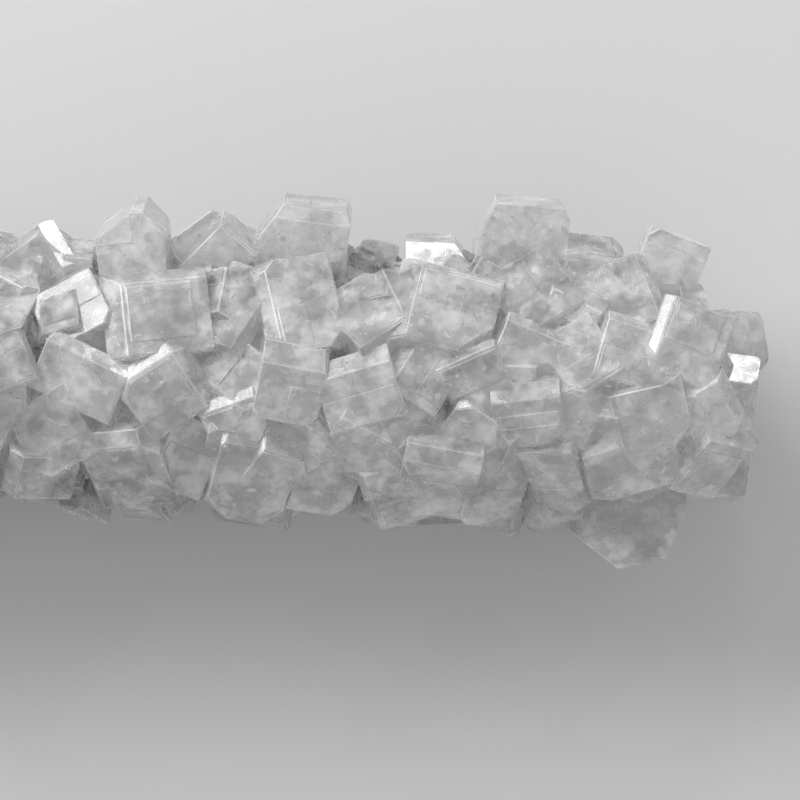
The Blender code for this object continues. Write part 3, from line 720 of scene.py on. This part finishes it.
def add_steps(rng, grown, clarity, group):
    crystal = grown.crystal
    for n, (turn, centre, half) in enumerate(faces_to_step(crystal, grown.length)):
        if n and rng.random() > WALL_STEP_SHARE:
            continue
        for low, high in step_plates(rng, half):
            bm = box(low, high)
            bmesh.ops.transform(bm, matrix=Matrix.Translation(centre) @ turn, verts=bm.verts)
            trim(bm, grown, STEP_INSET)
            if bm.faces:
                finish_block(bm, grown, clarity, STEP_EDGE, group)


def make_crystals(all_grown, group):
    rng = random.Random(STEP_SEED)
    for grown in all_grown:
        crystal = grown.crystal
        clarity = 1.0 if crystal in SLIVERS else rng.random()
        finish_block(crystal_block(grown), grown, clarity, rng.uniform(*EDGE_SIZES), group)
        if min(crystal.width, crystal.depth) > STEPPED_LEAST:
            add_steps(rng, grown, clarity, group)


def make_core():
    bpy.ops.mesh.primitive_cylinder_add(
        vertices=CORE_SIDES,
        radius=CORE_RADIUS,
        depth=CORE_TIP - CORE_TAIL,
        location=((CORE_TIP + CORE_TAIL) / 2, 0, AXIS_HEIGHT),
        rotation=(0, math.radians(90), 0),
    )
    core = bpy.context.object
    core.data.transform(core.matrix_world)
    core.matrix_world = Matrix.Identity(4)
    return core


def apply_modifiers(obj):
    graph = bpy.context.evaluated_depsgraph_get()
    finished = bpy.data.meshes.new_from_object(obj.evaluated_get(graph))
    obj.modifiers.clear()
    obj.data = finished


def fuse(core, group):
    """One union joins every crystal to the core."""
    union = core.modifiers.new("fuse", "BOOLEAN")
    union.operation = "UNION"
    union.operand_type = "COLLECTION"
    union.collection = group
    union.solver = "MANIFOLD"
    apply_modifiers(core)
    for crystal in list(group.objects):
        bpy.data.objects.remove(crystal, do_unlink=True)
    bpy.data.collections.remove(group)


def cut_at_table(obj):
    """The feet end level, in one plane at Z = 0."""
    side = 3 * ROD_LENGTH
    bpy.ops.mesh.primitive_cube_add(size=side, location=(0, 0, -side / 2))
    table = bpy.context.object
    cut = obj.modifiers.new("feet", "BOOLEAN")
    cut.operation = "DIFFERENCE"
    cut.object = table
    cut.solver = "MANIFOLD"
    apply_modifiers(obj)
    bpy.data.objects.remove(table, do_unlink=True)


def shells(bm):
    """The mesh's separate closed surfaces, each as a set of faces."""
    left = set(bm.faces)
    found = []
    while left:
        shell, edge = set(), [left.pop()]
        while edge:
            face = edge.pop()
            shell.add(face)
            near = {f for e in face.edges for f in e.link_faces} & left
            left -= near
            edge.extend(near)
        found.append(shell)
    return found


def keep_largest_shell(obj):
    """Fills sealed hollows and drops loose scraps."""
    bm = bmesh.new()
    bm.from_mesh(obj.data)
    bmesh.ops.remove_doubles(bm, verts=bm.verts, dist=WELD)
    spare = [face for shell in sorted(shells(bm), key=len)[:-1] for face in shell]
    bmesh.ops.delete(bm, geom=spare, context="FACES")
    bmesh.ops.triangulate(bm, faces=bm.faces)
    bm.to_mesh(obj.data)
    bm.free()


def new_tree(name, sizes):
    """A Geometry Nodes tree with its size inputs, and its sockets by name."""
    tree = bpy.data.node_groups.new(name, "GeometryNodeTree")
    tree.interface.new_socket("Geometry", in_out="INPUT", socket_type="NodeSocketGeometry")
    tree.interface.new_socket("Geometry", in_out="OUTPUT", socket_type="NodeSocketGeometry")
    for size in sizes:
        tree.interface.new_socket(size, in_out="INPUT", socket_type="NodeSocketFloat")
    given = tree.nodes.new("NodeGroupInput").outputs
    return tree, given, tree.nodes.new("NodeGroupOutput").inputs["Geometry"]


def add_node(tree, kind, sockets=None, **settings):
    """Adds a node, and sets or links each named or numbered input socket."""
    node = tree.nodes.new(kind)
    for name, value in settings.items():
        setattr(node, name, value)
    for name, value in (sockets or {}).items():
        if isinstance(value, bpy.types.NodeSocket):
            tree.links.new(value, node.inputs[name])
        else:
            node.inputs[name].default_value = value
    return node


def plus(tree, first, second, clamp=False):
    node = add_node(tree, "ShaderNodeMath", {0: first, 1: second}, operation="ADD", use_clamp=clamp)
    return node.outputs[0]


def times(tree, value, factor):
    return add_node(tree, "ShaderNodeMath", {0: value, 1: factor}, operation="MULTIPLY").outputs[0]


def combine(tree, operation, first, second, output="Vector"):
    """Two vectors brought together by one operation."""
    node = add_node(tree, "ShaderNodeVectorMath", {0: first, 1: second}, operation=operation)
    return node.outputs[output]


def between(tree, low, high, seed):
    """A number drawn between two others for each point."""
    node = add_node(tree, "FunctionNodeRandomValue", {"Seed": seed})
    for socket, value in zip([s for s in node.inputs if s.enabled], (low, high)):
        if isinstance(value, bpy.types.NodeSocket):
            tree.links.new(value, socket)
        else:
            socket.default_value = value
    return next(s for s in node.outputs if s.enabled)


def random_turn(tree, tilt, seed):
    """A free spin about the upright, and a tilt from it of up to the given angle both ways."""
    angles = [between(tree, -limit, limit, seed + n) for n, limit in enumerate((tilt, tilt, math.pi))]
    joined = add_node(tree, "ShaderNodeCombineXYZ", dict(enumerate(angles)))
    return add_node(tree, "FunctionNodeEulerToRotation", {"Euler": joined.outputs[0]}).outputs[0]


def off_axis(tree):
    """How far a point is from the rod's axis, or from the axis's end beyond it."""
    position = tree.nodes.new("GeometryNodeInputPosition").outputs[0]
    along = add_node(tree, "ShaderNodeSeparateXYZ", {0: position}).outputs["X"]
    limits = {"Value": along, "Min": CORE_TAIL + CLEFT_FROM_END, "Max": CORE_TIP - CLEFT_FROM_END}
    on_axis = add_node(tree, "ShaderNodeClamp", limits).outputs[0]
    foot = add_node(tree, "ShaderNodeCombineXYZ", {"X": on_axis, "Z": AXIS_HEIGHT}).outputs[0]
    return combine(tree, "DISTANCE", position, foot, "Value")


def finish_tree(tree, instances, material, result):
    """Ends the tree with a random clarity for each instance, real geometry and its material."""
    clear = add_node(
        tree,
        "GeometryNodeStoreNamedAttribute",
        {"Geometry": instances, "Name": "clarity", "Value": between(tree, 0.0, 1.0, CLARITY_SEED)},
        data_type="FLOAT",
        domain="INSTANCE",
    )
    real = add_node(tree, "GeometryNodeRealizeInstances", {"Geometry": clear.outputs[0]})
    dressed = add_node(tree, "GeometryNodeSetMaterial", {"Geometry": real.outputs[0], "Material": material})
    tree.links.new(dressed.outputs[0], result)


def cleft_tree(habits, material):
    """Small crystals of a few habits, grown on the surface wherever it lies low."""
    tree, given, result = new_tree("cleft crystals", ("Per square mm", "Smallest", "Largest", "Cleft depth"))
    points = add_node(
        tree,
        "GeometryNodeDistributePointsOnFaces",
        {"Mesh": given["Geometry"], "Density": given["Per square mm"], "Seed": CLEFT_SEED},
    )
    position = tree.nodes.new("GeometryNodeInputPosition").outputs[0]
    height = add_node(tree, "ShaderNodeSeparateXYZ", {0: position}).outputs["Z"]
    above_table = add_node(tree, "FunctionNodeCompare", {0: height, 1: CLEFT_CLEARANCE}).outputs[0]
    in_cleft = add_node(
        tree, "FunctionNodeCompare", {0: off_axis(tree), 1: given["Cleft depth"]}, operation="LESS_THAN"
    )
    kept = add_node(tree, "FunctionNodeBooleanMath", {0: above_table, 1: in_cleft.outputs[0]})
    turned = add_node(
        tree,
        "FunctionNodeRotateRotation",
        {"Rotation": points.outputs["Rotation"], "Rotate By": random_turn(tree, CLEFT_TILT, CLEFT_SEED)},
        rotation_space="LOCAL",
    )
    whole = {"Collection": habits, "Separate Children": True, "Reset Children": True}
    shapes = add_node(tree, "GeometryNodeCollectionInfo", whole)
    size = between(tree, given["Smallest"], given["Largest"], CLEFT_SEED + 5)
    planted = add_node(
        tree,
        "GeometryNodeInstanceOnPoints",
        {
            "Points": points.outputs["Points"],
            "Selection": kept.outputs[0],
            "Instance": shapes.outputs[0],
            "Pick Instance": True,
            "Rotation": turned.outputs[0],
            "Scale": size,
        },
    )
    finish_tree(tree, planted.outputs[0], material, result)
    return tree


def depth_inside(tree, surface):
    """How deep a point lies inside the surface, and less than 0 outside it."""
    position = tree.nodes.new("GeometryNodeInputPosition").outputs[0]
    nearest = add_node(tree, "GeometryNodeProximity", {"Geometry": surface}).outputs["Position"]
    facing = tree.nodes.new("GeometryNodeInputNormal").outputs[0]
    read = {"Mesh": surface, "Value": facing}
    outward = add_node(tree, "GeometryNodeSampleNearestSurface", read, data_type="FLOAT_VECTOR").outputs[0]
    way_out = combine(tree, "SUBTRACT", nearest, position)
    return combine(tree, "DOT_PRODUCT", way_out, outward, "Value")


def veil_tree(material):
    """Flat milky veils a little way under the surface, each wholly inside it."""
    tree, given, result = new_tree("veils", ("Per square mm", "Shallowest", "Deepest", "Smallest", "Largest"))
    points = add_node(
        tree,
        "GeometryNodeDistributePointsOnFaces",
        {"Mesh": given["Geometry"], "Density": given["Per square mm"], "Seed": VEIL_SEED},
    )
    depth = between(tree, given["Shallowest"], given["Deepest"], VEIL_SEED)
    inward = {0: points.outputs["Normal"], "Scale": times(tree, depth, -1.0)}
    offset = add_node(tree, "ShaderNodeVectorMath", inward, operation="SCALE").outputs[0]
    moved = {"Geometry": points.outputs["Points"], "Offset": offset}
    sunk = add_node(tree, "GeometryNodeSetPosition", moved)
    sides = [between(tree, given["Smallest"], given["Largest"], VEIL_SEED + n) for n in (1, 2)]
    covered = {0: depth_inside(tree, given["Geometry"]), 1: times(tree, given["Largest"], 0.5)}
    deep = add_node(tree, "FunctionNodeCompare", covered).outputs[0]
    size = add_node(tree, "ShaderNodeCombineXYZ", {"X": sides[0], "Y": sides[1], "Z": VEIL_THICKNESS})
    puff = add_node(tree, "GeometryNodeMeshIcoSphere", {"Radius": 0.5, "Subdivisions": 1})
    placed = add_node(
        tree,
        "GeometryNodeInstanceOnPoints",
        {
            "Points": sunk.outputs[0],
            "Selection": deep,
            "Instance": puff.outputs["Mesh"],
            "Rotation": random_turn(tree, math.pi, VEIL_SEED + 5),
            "Scale": size.outputs[0],
        },
    )
    finish_tree(tree, placed.outputs[0], material, result)
    return tree


def run_tree(base, tree, sizes, name):
    """A new object with what the tree makes of the base's mesh."""
    made = bpy.data.objects.new(name, base.data.copy())
    bpy.context.scene.collection.objects.link(made)
    growing = made.modifiers.new(name, "NODES")
    growing.node_group = tree
    for socket in tree.interface.items_tree:
        if socket.name in sizes:
            growing[socket.identifier] = sizes[socket.name]
    apply_modifiers(made)
    made.data.name = name
    return made


def small_habits():
    """A few shapes of small crystal, 1 mm across, each with its frame and its worn edges marked; the sugar
    paints those edges whiter, partly as wear and partly as a painted rim highlight.
    """
    group = new_collection("habits")
    rng = random.Random(CLEFT_SEED)
    for _ in range(HABITS):
        crystal = random_crystal(rng, 0.0, 0.0, 0.0, HABIT_SIZES, 0.0, 0.0)
        placing = Matrix.Translation((0, 0, HABIT_LENGTH / 2))
        grown = Grown(crystal, placing, HABIT_LENGTH, random_growth(rng, crystal))
        finish_block(crystal_block(grown), grown, HABIT_CLARITY, HABIT_EDGE, group)
    return group


def add_cleft_crystals(candy, material):
    habits = small_habits()
    made = run_tree(candy, cleft_tree(habits, material), CLEFT_SIZES, "cleft_crystals")
    for habit in list(habits.objects):
        bpy.data.objects.remove(habit, do_unlink=True)
    bpy.data.collections.remove(habits)
    return made


def add_veils(candy):
    """Veils of tiny bubbles."""
    haze = plain_material("veil", VEIL_TONE, VEIL_ROUGHNESS, VEIL_ALPHA)
    return run_tree(candy, veil_tree(haze), VEIL_SIZES, "veils")


def to_metres(obj):
    obj.data.transform(Matrix.Scale(METRES, 4))


def grey(tone):
    return (tone, tone, tone, 1.0)


def new_material(name):
    material = bpy.data.materials.new(name)
    material.use_nodes = True
    return material, material.node_tree.nodes["Principled BSDF"]


def plain_material(name, tone, roughness, alpha=1.0):
    material, shader = new_material(name)
    for socket, value in (("Base Color", grey(tone)), ("Roughness", roughness), ("Alpha", alpha)):
        shader.inputs[socket].default_value = value
    return material


def read_attribute(tree, name, output="Fac"):
    return add_node(tree, "ShaderNodeAttribute", attribute_name=name).outputs[output]


def add_noise(tree, vector, noise):
    scale, detail, roughness = noise
    sockets = {"Vector": vector, "Scale": scale, "Detail": detail, "Roughness": roughness}
    return add_node(tree, "ShaderNodeTexNoise", sockets).outputs["Fac"]


def remap(tree, value, span):
    """Carries value from one range to another, clamped."""
    sockets = dict(zip(("From Min", "From Max", "To Min", "To Max"), span), Value=value)
    return add_node(tree, "ShaderNodeMapRange", sockets).outputs["Result"]


def sugar():
    """Sugar, clear to milky in clouds, with light scattered inside and faint ripples. Worn edges are painted
    whiter and frostier, partly as wear and partly as a painted highlight along the rims.
    """
    material, shader = new_material("sugar")
    tree = material.node_tree
    place = tree.nodes.new("ShaderNodeTexCoord").outputs["Object"]
    clarity = read_attribute(tree, "clarity")
    worn = read_attribute(tree, "worn")
    clouds = add_noise(tree, place, CLOUDS)
    flecks = add_noise(tree, place, FLECKS)
    ripples = add_noise(tree, read_attribute(tree, "own", "Vector"), RIPPLES)

    milk = plus(tree, remap(tree, clouds, MILK_OF_CLOUDS), times(tree, clarity, MILK_OF_CLARITY))
    # worn edges get more milk and a whiter tone: partly wear, partly a painted rim highlight
    milk = plus(tree, milk, times(tree, worn, MILK_OF_WEAR_AND_RIM_HIGHLIGHT), clamp=True)
    tone = plus(tree, remap(tree, clouds, TONE_OF_CLOUDS), remap(tree, flecks, TONE_OF_FLECKS))
    tone = plus(tree, tone, times(tree, worn, TONE_OF_WEAR_AND_RIM_HIGHLIGHT), clamp=True)
    colour = add_node(tree, "ShaderNodeCombineColor", {"Red": tone, "Green": tone, "Blue": tone})
    roughness = plus(tree, remap(tree, flecks, ROUGHNESS_OF_FLECKS), times(tree, worn, ROUGHNESS_OF_WEAR))
    strength = remap(tree, clarity, RIPPLES_OF_CLARITY)
    bump = {"Strength": strength, "Distance": RIPPLE_HEIGHT, "Height": ripples}
    for name, value in (
        ("Transmission Weight", remap(tree, milk, LIGHT_THROUGH)),
        ("Base Color", colour.outputs["Color"]),
        ("Roughness", roughness),
        ("Normal", add_node(tree, "ShaderNodeBump", bump).outputs["Normal"]),
    ):
        tree.links.new(value, shader.inputs[name])
    shader.inputs["IOR"].default_value = BENDING
    haze = add_node(tree, "ShaderNodeVolumeScatter", {"Density": HAZE, "Color": grey(1.0)})
    tree.links.new(haze.outputs["Volume"], tree.nodes["Material Output"].inputs["Volume"])
    return material


def make_floor():
    bm = bmesh.new()
    bmesh.ops.create_grid(bm, x_segments=1, y_segments=1, size=TABLE_REACH)
    mesh = bpy.data.meshes.new("floor")
    bm.to_mesh(mesh)
    bm.free()
    mesh.materials.append(plain_material("table", TABLE_TONE, TABLE_ROUGHNESS))
    floor = bpy.data.objects.new("floor", mesh)
    bpy.context.scene.collection.objects.link(floor)
    floor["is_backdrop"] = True


def add_light(light):
    data = bpy.data.lights.new(light.name, "AREA")
    data.shape = "RECTANGLE"
    data.size, data.size_y = light.size
    data.energy = light.power
    lamp = bpy.data.objects.new(light.name, data)
    lamp.location = light.place
    lamp.rotation_euler = (Vector(LIT_PLACE) - Vector(light.place)).to_track_quat("-Z", "Y").to_euler()
    bpy.context.scene.collection.objects.link(lamp)


def light_studio():
    for light in LIGHTS:
        add_light(light)
    world = bpy.data.worlds.new("studio")
    bpy.context.scene.world = world
    world.use_nodes = True
    background = world.node_tree.nodes["Background"]
    background.inputs["Color"].default_value = grey(STUDIO_TONE)
    background.inputs["Strength"].default_value = STUDIO_STRENGTH


def add_camera():
    data = bpy.data.cameras.new("camera")
    data.lens = CAMERA_LENS
    data.sensor_width = CAMERA_SENSOR
    data.clip_start = CAMERA_NEAR
    camera = bpy.data.objects.new("camera", data)
    camera.location = Vector((*CAMERA_OVER, AXIS_HEIGHT + CAMERA_ABOVE_AXIS)) * METRES
    bpy.context.scene.collection.objects.link(camera)
    bpy.context.scene.camera = camera


def set_bounces():
    cycles = bpy.context.scene.cycles
    cycles.use_denoising = True
    cycles.max_bounces = BOUNCES
    cycles.transmission_bounces = BOUNCES_THROUGH
    cycles.volume_bounces = BOUNCES_IN_HAZE
    cycles.sample_clamp_indirect = 0


def make_candy():
    crystals = new_collection("crystals")
    make_crystals(grow_all(), crystals)
    candy = make_core()
    fuse(candy, crystals)
    cut_at_table(candy)
    keep_largest_shell(candy)
    candy.name = "crystals"
    candy.data.name = "crystals"
    clear_sugar = sugar()
    candy.data.materials.clear()
    candy.data.materials.append(clear_sugar)
    small = add_cleft_crystals(candy, clear_sugar)
    milky = add_veils(candy)
    for piece in (candy, small, milky):
        to_metres(piece)
    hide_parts(NODE)
    for piece in (candy, small, milky):
        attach(piece, "root")


def write_size():
    boxes = {"cad": CAD_BOX, "visual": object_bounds()}
    {name: [list(corner) for corner in corners] for name, corners in boxes.items()}


make_candy()
make_floor()
light_studio()
add_camera()
set_bounces()
bpy.context.scene.view_settings.view_transform = "Standard"
write_size()
